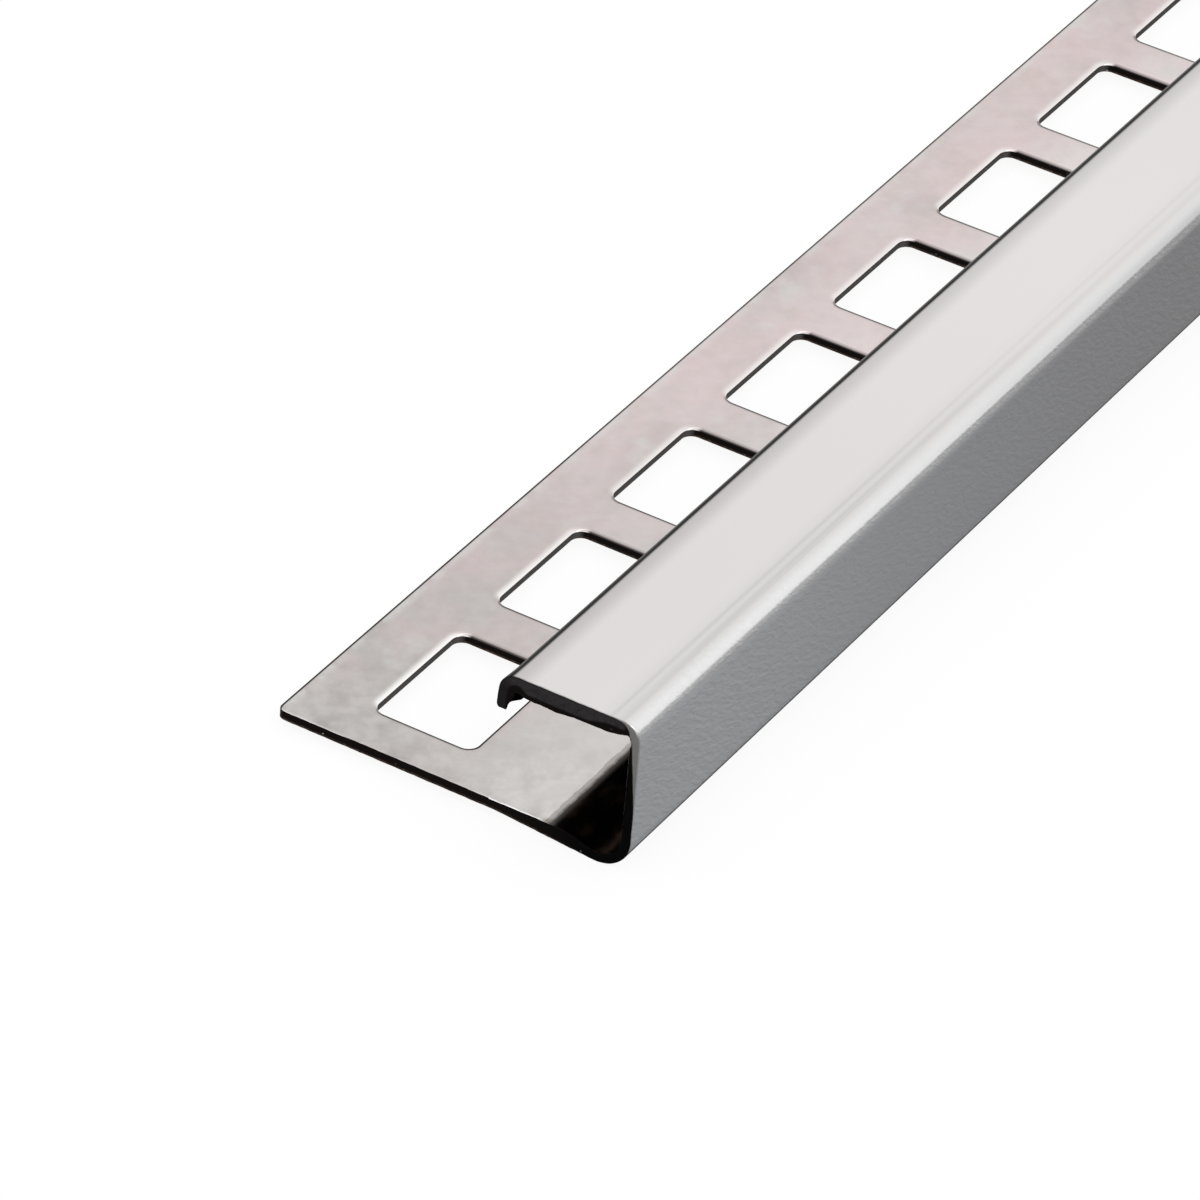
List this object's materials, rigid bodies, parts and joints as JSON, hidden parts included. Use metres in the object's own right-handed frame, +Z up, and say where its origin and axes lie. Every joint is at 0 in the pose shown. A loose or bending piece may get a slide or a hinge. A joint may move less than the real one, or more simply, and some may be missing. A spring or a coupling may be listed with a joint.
{
  "type": "tile edge trim",
  "caption": "Box-section stainless steel tile edge trim with a punched bedding leg, a tall visible wall, a flat polished top and a short turned-down lip.",
  "frame": {"origin": "under the middle of the bar, on the level of its lowest line, the outer fold at the foot of the wall", "axes": "+Y along the bar, away from the end that the picture shows; +Z up; +X across it, from the punched leg's free edge to the wall that stays in view"},
  "size_m": [0.029, 1, 0.0125],
  "materials": {
    "stainless_steel": "satin leg, polished top face, dark sheared edges"
  },
  "bodies": {
    "root": {"trim_strip": "stainless_steel"}
  },
  "joints": []
}
